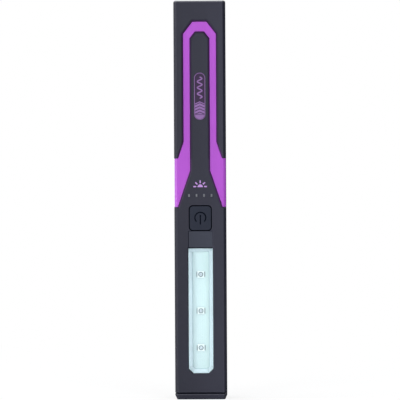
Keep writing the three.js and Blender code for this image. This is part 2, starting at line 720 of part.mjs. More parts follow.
function ledBoard() {
  const { halfWidth, front, bottom, top } = LED_BOARD;
  return block([-halfWidth, halfWidth], [front, LED_BOARD_BACK], [bottom, top]);
}

function thermalPad() {
  const front = LED_BOARD_BACK + SEAM;
  const { halfWidth, bottom, top } = SPREADER;
  return block([-halfWidth, halfWidth], [front, front + THERMAL_PAD - SEAM / 2], [bottom, top]);
}

// One LED: a square package with a clear dome, placed at its height on the board.
function led(z, i) {
  const half = LED.side / 2;
  const casing = block([-half, half], [-LED.thickness, 0], [-half, half]);
  const curve = arc(0, 0, LED.domeRadius, 0, Math.PI / 2, 4).slice(0, -1);
  const dome = turned([[0, 0], ...curve, [0, LED.domeRadius]], 16).rotate([180, 0, 0]);
  const domeY = LED_SEAT - LED.thickness - SEAM / 2;
  return group(
    placed(part(`led_package_${i + 1}`, casing, CERAMIC), 0, LED_SEAT, z),
    placed(part(`led_dome_${i + 1}`, dome, SILICONE), 0, domeY, z),
  );
}

const light = group(
  part("lens_window", lensWindow(), CLEAR_PLASTIC),
  part("lens_gasket", lensGasket(), RUBBER),
  part("reflector_tray", reflectorTray(), WHITE_PLASTIC),
  part("led_board", ledBoard(), BOARD_WHITE),
  ...LED_HEIGHTS.map(led),
  part("thermal_pad", thermalPad(), PAD_GREY),
  part("heat_spreader", heatSpreader(), ALUMINIUM),
);

// ---- Controls -----------------------------------------------------------------------------------------

// The cap's mark: a ring open at its lower side, and a bar that starts inside it and leaves by the opening.
function powerMark() {
  const { radius, stroke, barLow, barHigh, rise } = POWER_MARK;
  const from = -Math.PI / 4;
  const to = (5 * Math.PI) / 4;
  const ring = outline([
    ...arc(0, BUTTON_Z + rise, radius + stroke / 2, from, to, 20),
    ...arc(0, BUTTON_Z + rise, radius - stroke / 2, to, from, 20),
  ]);
  const bar = rectangle(-stroke / 2, stroke / 2, BUTTON_Z + barLow, BUTTON_Z + barHigh);
  return [ring, bar].map((shape) => plate(shape, FRONT_Y - BEYOND, FRONT_Y + POWER_MARK.depth));
}

// The cap, the flange that keeps it in the cover, and the stem that reaches the switch.
function powerButton() {
  const flangeFront = INNER_FRONT + SEAM;
  const flangeBack = flangeFront + BUTTON_CAP.flangeThickness;
  const cap = plate(buttonShape(BUTTON_CAP), FRONT_Y, flangeBack);
  const flange = plate(buttonShape(BUTTON_OPENING, BUTTON_CAP.flange / 2), flangeFront, flangeBack);
  const stem = barY(BUTTON_STEM_RADIUS, flangeBack - SEAM, PLUNGER_FRONT - SEAM / 2, 0, BUTTON_Z);
  return cut(joined([cap, flange, stem]), powerMark());
}

function switchBody() {
  const half = SWITCH.side / 2;
  const back = BOARD.front - SEAM / 2;
  const housing = block([-half, half], [SWITCH_FRONT, back], [BUTTON_Z - half, BUTTON_Z + half]);
  const wellEnd = SWITCH_FRONT + SWITCH.plungerIn + BUTTON_TRAVEL + SEAM;
  return housing.subtract(barY(SWITCH.plungerRadius + SEAM, SWITCH_FRONT - BEYOND, wellEnd, 0, BUTTON_Z));
}

function switchPlunger() {
  return barY(SWITCH.plungerRadius, PLUNGER_FRONT, SWITCH_FRONT + SWITCH.plungerIn, 0, BUTTON_Z);
}

// A block centred on an X and on the indicators' height.
function atIndicator(x, halfWidth, halfHeight, front, back) {
  return block(
    [x - halfWidth, x + halfWidth],
    [front, back],
    [INDICATOR_Z - halfHeight, INDICATOR_Z + halfHeight],
  );
}

// Pins that show as the indicators, a bar that joins them, and legs that reach the board's own LEDs.
function lightGuide() {
  const barFront = INNER_FRONT + GUIDE_BAR.fromCover;
  const barBack = barFront + GUIDE_BAR.depth;
  const { width, height, recess } = INDICATOR_PIN;
  const { halfWidth, halfHeight } = GUIDE_LEG;
  const pinsAndLegs = INDICATOR_X.flatMap((x) => [
    atIndicator(x, width / 2, height / 2, FRONT_Y + recess, barFront + SEAM),
    atIndicator(x, halfWidth, halfHeight, barBack - SEAM, CHIP_FRONT - SEAM),
  ]);
  const bar = atIndicator(0, GUIDE_BAR.halfWidth, GUIDE_BAR.halfHeight, barFront, barBack);
  return joined([bar, ...pinsAndLegs]);
}

function indicatorLed(x, i) {
  const { halfWidth, halfHeight, depth } = INDICATOR_CHIP;
  const chip = atIndicator(x, halfWidth, halfHeight, CHIP_FRONT, CHIP_FRONT + depth);
  return part(`indicator_led_${i + 1}`, chip, CERAMIC);
}

function mainBoard() {
  const { halfWidth, bottom, top, front, back } = BOARD;
  return block([-halfWidth, halfWidth], [front, back], [bottom, top]);
}

function chargeChip() {
  const { left, right, bottom, top, back } = CHARGE_CHIP;
  return block([left, right], [BOARD.back + SEAM, back], [bottom, top]);
}

function driverInductor() {
  const { radius, back, x, z, sides } = INDUCTOR;
  return barY(radius, BOARD.back + SEAM, back, x, z, sides);
}

const controls = group(
  part("power_button", powerButton(), BUTTON_PLASTIC),
  part("switch_body", switchBody(), CHIP_BLACK),
  part("switch_plunger", switchPlunger(), CERAMIC),
  part("light_guide", lightGuide(), CLEAR_PLASTIC),
  ...INDICATOR_X.map(indicatorLed),
  part("main_board", mainBoard(), BOARD_GREEN),
  part("charge_chip", chargeChip(), CHIP_BLACK),
  part("driver_inductor", driverInductor(), DARK_STEEL),
);

// ---- Charging port ------------------------------------------------------------------------------------

// A USB-C socket on the back of the board, its mouth to the left.
function usbSocket() {
  const middle = USB_FRONT + USB.height / 2;
  const { halfWidth, thickness, fromMouth, length } = USB_TONGUE;
  const shell = sideways(usbShape(0), USB.mouthX, USB.mouthX + USB.length);
  const cavity = sideways(usbShape(USB_MOUTH.wall), USB.mouthX - BEYOND, USB.mouthX + USB_MOUTH.depth);
  const tongue = block(
    [USB.mouthX + fromMouth, USB.mouthX + fromMouth + length],
    [middle - thickness / 2, middle + thickness / 2],
    [USB.z - halfWidth, USB.z + halfWidth],
  );
  return joined([shell.subtract(cavity), tongue]);
}

// A cover plate with a nail notch, a plug that fills the port's mouth, and a hinge knuckle.
function portFlap() {
  const { outerX, thickness, front, rear, bottom, top } = FLAP;
  const innerX = outerX + thickness;
  const { x, y, knuckle, hole } = FLAP_PIN;
  const cover = block([outerX, innerX], [front, rear], [bottom, top]);
  const web = block([outerX, x + knuckle / 2], [rear - SEAM, y], [FLAP_PIN.bottom, FLAP_PIN.top]);
  const barrel = barZ(knuckle, FLAP_PIN.bottom, FLAP_PIN.top, x, y);
  const plug = block(
    [innerX - SEAM, innerX + FLAP_PLUG.depth],
    [FLAP_PLUG.front, FLAP_PLUG.rear],
    [USB.z - FLAP_PLUG.halfHeight, USB.z + FLAP_PLUG.halfHeight],
  );
  return cut(joined([cover, web, barrel, plug]), [
    barZ(hole, FLAP_PIN.bottom - BEYOND, FLAP_PIN.top + BEYOND, x, y),
    barY(FLAP_NOTCH.radius, front - BEYOND, front + FLAP_NOTCH.length, outerX, USB.z),
  ]);
}

function flapPin() {
  return barZ(FLAP_PIN.radius, FLAP.bottom, FLAP.top, FLAP_PIN.x, FLAP_PIN.y);
}

const port = group(
  part("usb_socket", usbSocket(), NICKEL),
  part("port_flap", portFlap(), BLACK_PLASTIC),
  part("port_flap_pin", flapPin(), STEEL),
);

// ---- Cell, wires and screws ---------------------------------------------------------------------------

// The cell's can with its crimped shoulder and raised end, turned about Y and stood up along Z.
function batteryCell() {
  const { radius, length: top, edge } = CELL;
  const { low, middle, high, shoulder, depth } = CELL_CRIMP;
  const rim = top - CELL_TERMINAL.height;
  const profile = [
    [0, 0],
    [radius - edge, 0],
    [radius, edge],
    [radius, top - low],
    [radius - depth, top - middle],
    [radius, top - high],
    [radius, top - shoulder],
    [radius - depth, rim],
    [CELL_TERMINAL.radius, rim],
    [CELL_TERMINAL.radius, top],
    [0, top],
  ];
  return turned(profile, 32).rotate([90, 0, 0]);
}

function upperFoam() {
  const bottom = CELL_TOP + CLEARANCE;
  return barZ(FOAM_UPPER.radius, bottom, bottom + FOAM_UPPER.thickness, 0, CELL.y);
}

function lowerFoam() {
  const top = CELL.bottom - CLEARANCE;
  return barZ(FOAM_LOWER.radius, top - FOAM_LOWER.thickness, top, 0, CELL.y);
}

// A wire from the LED board up to the main board, at one X.
function ledWire(x) {
  const route = LED_WIRE_ROUTE.map(([y, z]) => [x, y, z]);
  return wire(route, WIRE_RADIUS);
}

const power = group(
  placed(part("battery_cell", batteryCell(), CELL_SLEEVE), 0, CELL.y, CELL.bottom),
  part("battery_foam_upper", upperFoam(), RUBBER),
  part("battery_foam_lower", lowerFoam(), RUBBER),
  part("battery_wire_red", wire(CELL_RED_ROUTE, WIRE_RADIUS), RED_WIRE),
  part("battery_wire_black", wire(CELL_BLACK_ROUTE, WIRE_RADIUS), BLACK_WIRE),
  part("led_wire_red", ledWire(LED_WIRE_X), RED_WIRE),
  part("led_wire_black", ledWire(-LED_WIRE_X), BLACK_WIRE),
);

// A pan-head screw with a cross recess, driven from the back: its head is towards +Y.
function housingScrew() {
  const { shank, head, headHeight, length, tip, tipLength } = SCREW;
  const edge = SCREW_HEAD_EDGE;
  const profile = [
    [0, -length],
    [tip, -length],
    [shank, tipLength - length],
    [shank, 0],
    [head, 0],
    [head, headHeight - edge.depth],
    [head - edge.width, headHeight],
    [0, headHeight],
  ];
  return cut(turned(profile, 14), crossRecess(SCREW_CROSS, headHeight));
}

const screws = SCREW_PLACES.flatMap(([x, z]) => [[-x, z], [x, z]]).map(([x, z], i) => {
  const screw = part(`housing_screw_${i + 1}`, housingScrew(), DARK_STEEL);
  return placed(screw, x, SCREW.headY - SCREW.headHeight + SEAM / 2, z);
});

// ---- Clip ---------------------------------------------------------------------------------------------

// A strip of even thickness that follows a smooth line in YZ: flat on the body, out past the magnet's edge,
// back to the body, and out again at the tip.
function springStrip() {
  const line = new THREE.SplineCurve(CLIP_LINE.map((point) => new THREE.Vector2(...point)));
  const steps = 28;
  const inner = [];
  const outer = [];
  for (let i = 0; i <= steps; i += 1) {
    const point = line.getPoint(i / steps);
    const along = line.getTangent(i / steps);
    const across = new THREE.Vector2(along.y, -along.x).multiplyScalar(CLIP.thickness / 2);
    inner.push(point.clone().sub(across));
    outer.push(point.clone().add(across));
  }
  const section = new THREE.Shape([...inner, ...outer.reverse()]);
  const middleY = REAR_Y + CLIP.gap + CLIP.thickness / 2;
  return sideways(section, -WIDTH, WIDTH).translate([0, middleY, CLIP_Z]);
}

// The strip trimmed to a round base and an arm with rounded corners at its tip.
function swivelClip() {
  const { halfWidth, baseRadius, tipRadius } = CLIP;
  const tip = CLIP_Z + CLIP.tip;
  const arm = outline([
    [-halfWidth, CLIP_Z],
    [halfWidth, CLIP_Z],
    [halfWidth, tip, tipRadius],
    [-halfWidth, tip, tipRadius],
  ]);
  const from = REAR_Y - BEYOND;
  const to = REAR_Y + 2 * BEYOND;
  const plan = joined([plate(arm, from, to), barY(baseRadius, from, to, 0, CLIP_Z, 32)]);
  return springStrip().intersect(plan).subtract(barY(PIVOT.hole, from, to, 0, CLIP_Z));
}

// A ring magnet, countersunk for the pivot screw. Its profile is turned about Y.
function clipMagnet() {
  const { radius, thickness, edge, hole, sinkRadius, sinkDepth } = MAGNET;
  const profile = [
    [hole, 0],
    [radius - edge, 0],
    [radius, edge],
    [radius, thickness - edge],
    [radius - edge, thickness],
    [sinkRadius, thickness],
    [hole, thickness - sinkDepth],
    [hole, 0],
  ];
  return turned(profile, 32);
}

// A countersunk screw with a cross recess that ends just below the magnet's face.
function clipScrew() {
  const { shank, head, headHeight, end } = PIVOT;
  const top = MAGNET_BACK - PIVOT_HEAD.sunk;
  const profile = [
    [0, end],
    [shank, end],
    [shank, top - headHeight],
    [head, top - PIVOT_HEAD.rim],
    [head, top],
    [0, top],
  ];
  return cut(turned(profile, 24), crossRecess(PIVOT_CROSS, top));
}

function clipNut() {
  const { radius, front, back, gap, sides } = NUT;
  return barY(radius, front, back, 0, 0, sides).subtract(barY(PIVOT.shank + gap, 0, REAR_Y, 0, 0));
}

function clipWasher() {
  const { radius, front, back } = WASHER;
  return barY(radius, front, back, 0, 0).subtract(barY(PIVOT.shank + CLEARANCE, 0, REAR_Y, 0, 0));
}

const clip = group(
  part("swivel_clip", swivelClip(), STEEL),
  placed(part("clip_magnet", clipMagnet(), NICKEL), 0, MAGNET_FRONT, CLIP_Z),
  placed(part("clip_screw", clipScrew(), STEEL), 0, 0, CLIP_Z),
  placed(part("clip_nut", clipNut(), STEEL), 0, 0, CLIP_Z),
  placed(part("clip_washer", clipWasher(), STEEL), 0, 0, CLIP_Z),
);

export default group(shells, light, controls, port, power, ...screws, clip);
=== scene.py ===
"""The looks of a hand-held UV curing lamp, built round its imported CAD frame: finished surfaces for every
CAD piece, the LEDs' glass and dies, the printed badge and symbol, a pale floor, soft studio light and a
camera that faces the window.

The lamp's own lengths are written in millimetres, and those of the stage, below it, in metres."""

import functools
import json
import math

import bmesh
import bpy
from mathutils import Matrix, Vector

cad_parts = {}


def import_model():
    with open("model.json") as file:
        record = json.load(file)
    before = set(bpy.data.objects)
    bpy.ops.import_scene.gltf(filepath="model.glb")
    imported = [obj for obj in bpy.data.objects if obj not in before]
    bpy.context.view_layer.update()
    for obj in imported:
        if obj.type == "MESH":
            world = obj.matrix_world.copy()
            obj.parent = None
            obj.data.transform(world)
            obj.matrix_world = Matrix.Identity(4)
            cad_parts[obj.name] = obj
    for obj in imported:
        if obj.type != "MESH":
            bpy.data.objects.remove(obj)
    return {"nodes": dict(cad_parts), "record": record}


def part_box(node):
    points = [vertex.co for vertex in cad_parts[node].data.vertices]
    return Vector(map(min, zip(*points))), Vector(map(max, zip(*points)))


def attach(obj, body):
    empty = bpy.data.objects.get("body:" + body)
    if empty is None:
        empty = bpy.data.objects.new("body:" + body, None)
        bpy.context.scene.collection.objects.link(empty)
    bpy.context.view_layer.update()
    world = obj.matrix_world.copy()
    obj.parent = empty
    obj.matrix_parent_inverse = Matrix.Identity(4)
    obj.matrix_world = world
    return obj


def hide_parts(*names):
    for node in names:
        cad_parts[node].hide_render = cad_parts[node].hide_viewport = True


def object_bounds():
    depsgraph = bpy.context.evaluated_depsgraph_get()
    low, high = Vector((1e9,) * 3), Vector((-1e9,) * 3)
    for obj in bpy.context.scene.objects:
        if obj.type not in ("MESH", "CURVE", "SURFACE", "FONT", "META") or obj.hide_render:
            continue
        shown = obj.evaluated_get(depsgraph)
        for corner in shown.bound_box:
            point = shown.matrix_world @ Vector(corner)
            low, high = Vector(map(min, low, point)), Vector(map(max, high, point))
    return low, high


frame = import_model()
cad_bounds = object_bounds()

MM = 0.001
NODES = frame["nodes"]
FRONT_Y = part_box("front_cover")[0].y
HALF_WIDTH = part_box("front_cover")[1].x
SLOT_OF = {entry["node"]: entry["material_slot"] for entry in frame["record"]["subparts"]}


# ---- Node-graph helpers ------------------------------------------------------------------------------


class Graph:
    """A material's node tree, with short calls for the nodes that the finishes below are made of."""

    def __init__(self, material):
        """Takes a material to add to, or the name of a new one."""
        self.material = bpy.data.materials.new(material) if isinstance(material, str) else material
        self.material.use_nodes = True
        self.tree = self.material.node_tree
        self.shader = self.tree.nodes["Principled BSDF"]
        self.output = self.tree.nodes["Material Output"]
        self.place = self.node("ShaderNodeTexCoord").outputs["Object"]

    def node(self, kind, **settings):
        made = self.tree.nodes.new(kind)
        for key, value in settings.items():
            setattr(made, key, value)
        return made

    def feed(self, socket, value):
        if isinstance(value, bpy.types.NodeSocket):
            self.tree.links.new(value, socket)
        elif socket.type == "RGBA":
            socket.default_value = (*value[:3], 1)
        else:
            socket.default_value = value

    def set(self, **inputs):
        for key, value in inputs.items():
            self.feed(self.shader.inputs[key.replace("_", " ")], value)

    def noise(self, scale, detail=2, stretch=(1, 1, 1), roughness=0.5):
        mapping = self.node("ShaderNodeMapping")
        mapping.inputs["Scale"].default_value = stretch
        self.feed(mapping.inputs["Vector"], self.place)
        made = self.node("ShaderNodeTexNoise")
        made.inputs["Scale"].default_value = scale
        made.inputs["Detail"].default_value = detail
        made.inputs["Roughness"].default_value = roughness
        self.feed(made.inputs["Vector"], mapping.outputs["Vector"])
        return made.outputs["Fac"]

    def spread(self, value, low, high, start=0.0, end=1.0):
        """value from start..end, spread over low..high and held at the ends."""
        made = self.node("ShaderNodeMapRange")
        for key, number in (("From Min", start), ("From Max", end), ("To Min", low), ("To Max", high)):
            made.inputs[key].default_value = number
        self.feed(made.inputs["Value"], value)
        return made.outputs["Result"]

    def axes(self, vector=None):
        """The X, Y and Z of a vector, or of the shaded point if none is given."""
        made = self.node("ShaderNodeSeparateXYZ")
        self.feed(made.inputs[0], self.place if vector is None else vector)
        return made.outputs

    def within(self, value, low, high, blur):
        """1 where value, in metres, lies between two limits in millimetres, fading out over the blur."""
        rise = self.spread(value, 0, 1, (low - blur) * MM, low * MM)
        fall = self.spread(value, 1, 0, high * MM, (high + blur) * MM)
        return self.math("MULTIPLY", rise, fall)

    def all_of(self, *factors):
        """The product of some factors."""
        return functools.reduce(lambda a, b: self.math("MULTIPLY", a, b), factors)

    def any_of(self, *factors):
        """The greatest of some factors."""
        return functools.reduce(lambda a, b: self.math("MAXIMUM", a, b), factors)

    def scaled(self, colour, factor):
        made = self.node("ShaderNodeVectorMath", operation="SCALE")
        self.feed(made.inputs[0], colour)
        self.feed(made.inputs["Scale"], factor)
        return made.outputs[0]

    def plain_colour(self):
        """What the shader's base colour is fed with so far."""
        return self.shader.inputs["Base Color"].links[0].from_socket

    def math(self, operation, a, b=0.0):
        made = self.node("ShaderNodeMath", operation=operation)
        self.feed(made.inputs[0], a)
        self.feed(made.inputs[1], b)
        return made.outputs[0]

    def mix(self, factor, a, b):
        made = self.node("ShaderNodeMix", data_type="RGBA")
        self.feed(made.inputs["Factor"], factor)
        self.feed(made.inputs["A"], a)
        self.feed(made.inputs["B"], b)
        return made.outputs["Result"]

    def bump(self, height, distance):
        made = self.node("ShaderNodeBump")
        made.inputs["Strength"].default_value = 1
        made.inputs["Distance"].default_value = distance
        self.feed(made.inputs["Height"], height)
        return made.outputs["Normal"]

    def edges(self, radius):
        """1 along convex and concave edges, 0 on flat faces."""
        rounded = self.node("ShaderNodeBevel", samples=4)
        rounded.inputs["Radius"].default_value = radius
        flat = self.node("ShaderNodeNewGeometry").outputs["Normal"]
        dot = self.node("ShaderNodeVectorMath", operation="DOT_PRODUCT")
        self.feed(dot.inputs[0], rounded.outputs["Normal"])
        self.feed(dot.inputs[1], flat)
        return self.spread(dot.outputs["Value"], 1, 0, 0.75, 0.995)


def shade(colour, factor):
    return tuple(min(1.0, channel * factor) for channel in colour)


# ---- Finishes -----------------------------------------------------------------------------------------


def moulded(name, colour, roughness, grain=0.0, coat=0.0, edge=1.35, shine=0.5, rim=0.25):
    """Injection-moulded plastic: faint flow marks, spark-eroded grain, and edges painted in patches in
    another tone: a painted highlight where edge is above 1, painted shade where it is below.
    edge is that tone's factor, and rim the edges' width."""
    g = Graph(name)
    flow = g.noise(scale=55, detail=3, stretch=(1, 1, 0.35))
    base = g.mix(g.spread(flow, 0, 1, 0.35, 0.65), shade(colour, 0.94), shade(colour, 1.06))
    # painted highlight along the edges, broken into patches
    edge_patches = g.spread(g.noise(scale=900, detail=3), 0.2, 0.8, 0.35, 0.65)
    painted_edge_light = g.all_of(g.edges(rim * MM), edge_patches)
    g.set(
        Base_Color=g.mix(painted_edge_light, base, shade(colour, edge)),
        Roughness=g.spread(g.noise(scale=240, detail=4), roughness - 0.025, roughness + 0.03, 0.3, 0.7),
        Coat_Weight=coat,
        Coat_Roughness=0.15,
        Specular_IOR_Level=shine,
    )
    if grain:
        g.set(Normal=g.bump(g.noise(scale=4200, detail=3, roughness=0.6), grain * MM))
    return g.material


def painted_side_light(material, left, right):
    """Paints side light into a material: its colour grows from one factor at the lamp's left side to another
    at its right side.
    """
    g = Graph(material)
    painted_light_factor = g.spread(g.axes()["X"], left, right, -HALF_WIDTH, HALF_WIDTH)
    g.set(Base_Color=g.scaled(g.plain_colour(), painted_light_factor))
    return material


def metal(name, colour, roughness, brush=(1, 1, 1), depth=0.004):
    """Plated or brushed metal. brush stretches the scratches: a small number is the long way."""
    g = Graph(name)
    lines = g.noise(2600, 4, brush, 0.65)
    cloud = g.noise(120, 3)
    g.set(
        Base_Color=g.mix(g.spread(cloud, 0, 1, 0.3, 0.7), shade(colour, 0.92), shade(colour, 1.05)),
        Metallic=1.0,
        Roughness=g.spread(lines, roughness - 0.06, roughness + 0.1, 0.25, 0.75),
        Normal=g.bump(lines, depth * MM),
    )
    return g.material


def soft(name, colour, roughness=0.8, grain=0.02):
    """Rubber, foam or wire insulation: matte with a fine pitted skin."""
    g = Graph(name)
    pits = g.noise(3000, 4, roughness=0.7)
    g.set(
        Base_Color=g.mix(g.spread(g.noise(300, 3), 0, 1), shade(colour, 0.85), shade(colour, 1.15)),
        Roughness=g.spread(pits, roughness - 0.1, roughness + 0.1),
        Normal=g.bump(pits, grain * MM),
    )
    return g.material


def clear(name, tint, gloss=0.06):
    """Clear plastic: light passes with a faint tint, and reflections strengthen towards grazing angles."""
    g = Graph(name)
    through = g.node("ShaderNodeBsdfTransparent")
    g.feed(through.inputs["Color"], g.mix(g.spread(g.noise(40, 2), 0, 1), shade(tint, 0.985), tint))
    shine = g.node("ShaderNodeBsdfGlossy")
    g.feed(shine.inputs["Roughness"], g.spread(g.noise(500, 3), gloss, gloss + 0.05))
    fresnel = g.node("ShaderNodeFresnel")
    fresnel.inputs["IOR"].default_value = 1.45
    outside = g.math("SUBTRACT", 1.0, g.node("ShaderNodeNewGeometry").outputs["Backfacing"])
    both = g.node("ShaderNodeMixShader")
    g.feed(both.inputs[0], g.math("MULTIPLY", fresnel.outputs[0], outside))
    g.feed(both.inputs[1], through.outputs[0])
    g.feed(both.inputs[2], shine.outputs[0])
    g.feed(g.output.inputs["Surface"], both.outputs[0])
    return g.material


def solder_mask(name, colour, copper, right=None):
    """A circuit board's lacquer over faint copper tracks. right is the tone that it drifts to towards +X."""
    g = Graph(name)
    tracks = g.node("ShaderNodeTexBrick", offset=0.37, squash=0.6, squash_frequency=3)
    for key, value in (("Scale", 130), ("Mortar Size", 0.02), ("Brick Width", 2.6), ("Row Height", 0.14)):
        tracks.inputs[key].default_value = value
    mapping = g.node("ShaderNodeMapping")
    mapping.inputs["Rotation"].default_value = (math.radians(90), 0, math.radians(90))
    g.feed(mapping.inputs["Vector"], g.place)
    g.feed(tracks.inputs["Vector"], mapping.outputs["Vector"])
    lines = tracks.outputs["Fac"]
    base = g.mix(g.spread(g.noise(90, 2), 0, 1), shade(colour, 0.97), shade(colour, 1.03))
    if right is not None:
        base = g.mix(g.spread(g.axes()["X"], 0, 1, -4 * MM, 4 * MM), base, right)
    g.set(
        Base_Color=g.mix(g.math("MULTIPLY", lines, 0.35), base, copper),
        Roughness=g.spread(g.noise(700, 3), 0.3, 0.42),
        Normal=g.bump(lines, 0.02 * MM),
    )
    return g.material


def beyond(g, corners, aside, height):
    """How far a point lies outside a symmetric convex outline, in metres. corners runs up its right side."""
    distance = g.math("SUBTRACT", height, corners[-1][1] * MM)
    for (x0, z0), (x1, z1) in zip(corners, corners[1:]):
        out = Vector((z1 - z0, x0 - x1)).normalized()
        across = g.math("ADD", g.math("MULTIPLY", aside, out.x), g.math("MULTIPLY", height, out.y))
        edge = (out.x * x0 + out.y * z0) * MM
        distance = g.any_of(distance, g.math("SUBTRACT", across, edge))
    return distance


def black_shell(name, colour, purple_reflection, channel_highlight):
    """The body's black plastic. Its bevels beside the purple frame carry a painted reflection of the frame's
    purple, the floor of the shallow channel above the window a painted highlight, the gaps, the right bevel
    and the loop's lips painted shade, and the ends' front edges a painted highlight. Its colour is painted
    lighter towards the lamp's right side, as side light."""
    shine = 0.15
    g = Graph(moulded(name, colour, 0.52, grain=0.012, edge=3.6, shine=shine, rim=0.35))
    place = g.axes()
    scales = {
        "x": place["X"],
        "aside": g.math("ABSOLUTE", place["X"]),
        "y": place["Y"],
        "behind": g.math("SUBTRACT", place["Y"], FRONT_Y),
        "z": place["Z"],
    }

    def region(name):
        strength, limits = REGIONS[name]
        return g.all_of(strength, *(g.within(scales[scale], *span) for scale, span in limits.items()))

    facing = g.axes(g.node("ShaderNodeNewGeometry").outputs["True Normal"])["Y"]
    to_front = g.spread(facing, 1, 0, -0.6, -0.3)
    bevel = g.all_of(g.spread(facing, 1, 0, -0.3, -0.2), g.spread(facing, 0, 1, -0.95, -0.85))
    sloping = g.spread(g.math("ABSOLUTE", facing), 1, 0, 0.9, 0.98)
    clear_of_button = g.math("SUBTRACT", 1.0, region("button's surroundings"))
    outside_loop = g.within(beyond(g, LOOP_OUTSIDE, scales["aside"], scales["z"]), *LIP)
    inside_loop = g.math("MULTIPLY", beyond(g, LOOP_INSIDE, scales["aside"], scales["z"]), -1.0)
    lips = g.any_of(outside_loop, g.within(inside_loop, *LIP))

    # painted reflection: the black bevels beside the purple frame are tinted with its purple
    painted_purple_reflection = g.all_of(region("beside the purple frame"), sloping, clear_of_button)
    # painted highlight along the front edges at the handle's end and above the nose
    painted_edge_light = g.all_of(g.any_of(region("handle's end"), region("nose's edge")), to_front)
    shadow = g.any_of(
        region("nose's groove"),
        region("button's gap"),
        region("shells' joint"),
        g.math("ADD", region("channel's left wall"), region("edge above the window")),
        g.all_of(region("right bevel"), bevel),
        g.all_of(region("lips of the loop"), lips),
    )
    # painted highlight: the channel's floor is painted lighter and bluer; the bevels beside the purple frame
    # get the painted purple reflection
    g.set(Base_Color=g.mix(region("channel"), g.mix(painted_purple_reflection, g.plain_colour(), purple_reflection), channel_highlight))
    # painted side light: the black grows lighter towards the lamp's right side
    painted_side_light(g.material, 0.82, 1.12)
    # painted highlight on the ends' front edges
    g.set(Base_Color=g.mix(painted_edge_light, g.plain_colour(), PAINTED_END_HIGHLIGHT))
    g.set(
        Base_Color=g.mix(shadow, g.plain_colour(), SHADOW),
        Specular_IOR_Level=g.spread(shadow, shine, 0),
    )
    return g.material


def tray_plastic(name, colour):
    """The reflector tray's white plastic, painted brighter on its left side as side light, with painted
    shade on its lower slope.
    """
    slope_top = 16.8
    # painted side light: the tray is brighter on its left side
    g = Graph(painted_side_light(moulded(name, colour, 0.35, grain=0.003, edge=0.94), 1.1, 0.9))
    # painted shade: the lower slope is darkened
    painted_slope_shade = g.spread(g.axes()["Z"], 0.87, 1, (slope_top - 0.5) * MM, slope_top * MM)
    g.set(Base_Color=g.scaled(g.plain_colour(), painted_slope_shade))
    return g.material


def button_cap(name, colour):
    """The thumb button's plastic. Its engraved mark and its sides are in shadow."""
    shine = 0.14
    g = Graph(moulded(name, colour, 0.45, grain=0.01, edge=2.5, shine=shine))
    behind = g.math("SUBTRACT", g.axes()["Y"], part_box("power_button")[0].y)
    shadow = g.spread(behind, 0, 1, 0.14 * MM, 0.2 * MM)
    g.set(
        Base_Color=g.mix(shadow, g.plain_colour(), SHADOW),
        Specular_IOR_Level=g.spread(shadow, shine, 0),
    )
    return g.material


SHADOW = (0.001, 0.002, 0.005)
# colour of the painted highlight along the ends' front edges
PAINTED_END_HIGHLIGHT = (0.13, 0.13, 0.145)

# The purple loop's right-hand edges as x and z, from the band upwards, and the black lips along them
LOOP_OUTSIDE = ((8.2, 121), (8.2, 183.3), (3.5, 189.4))
LOOP_INSIDE = ((5, 121), (5, 181.1), (2.3, 184.55))
LIP = (0, 0.9, 0.5)

# Places on the black shells where light and shade are painted in: a painted purple reflection, painted
# highlights and painted shade. Each has a strength, and limits along some of the scales x, aside (distance
# from the middle), y, behind (depth behind the front face) and z. Each scale has a lower limit, an upper
# limit and the width over which the tone fades out past them.
REGIONS = {
    # painted reflection of the purple frame on the black bevels
    "beside the purple frame": (
        1,
        {"behind": (0.25, 0.7, 0.2), "aside": (0, 11.3, 0.15), "z": (96.5, 191, 1)},
    ),
    "button's surroundings": (1, {"aside": (-1, 7, 0.5), "z": (80, 98.5, 0.5)}),
    # painted highlight on the channel's floor
    "channel": (1, {"behind": (0.36, 0.5, 0.03), "aside": (-1, 6, 0.1), "z": (75, 85, 0.1)}),
    # painted highlight along the handle's top edge
    "handle's end": (1, {"z": (199.4, 201, 0.2)}),
    # painted highlight along the nose's top edge
    "nose's edge": (0.18, {"z": (2.3, 2.72, 0.05)}),
    # the rest are painted shade
    "nose's groove": (0.88, {"z": (2.76, 3.55, 0.04)}),
    "button's gap": (1, {"aside": (-1, 5.84, 0.02), "z": (84.36, 97.44, 0.02), "behind": (0.3, 2, 0.1)}),
    "shells' joint": (1, {"y": (-1.62, -1.38, 0.02), "z": (3.6, 201, 0.1)}),
    "channel's left wall": (
        0.75,
        {"x": (-6.3, -5.92, 0.03), "behind": (0.06, 0.5, 0.03), "z": (75.7, 84.4, 0.05)},
    ),
    "edge above the window": (
        0.75,
        {"z": (75.95, 76.3, 0.07), "aside": (-1, 6.4, 0.1), "behind": (0.3, 1, 0.05)},
    ),
    "right bevel": (0.45, {"x": (11.7, 14, 0.1)}),
    "lips of the loop": (0.3, {"z": (121, 195, 1), "behind": (-0.1, 0.7, 0.2)}),
}

ALONG_LAMP = (1, 1, 0.02)  # stretches brushed metal's scratches along the lamp

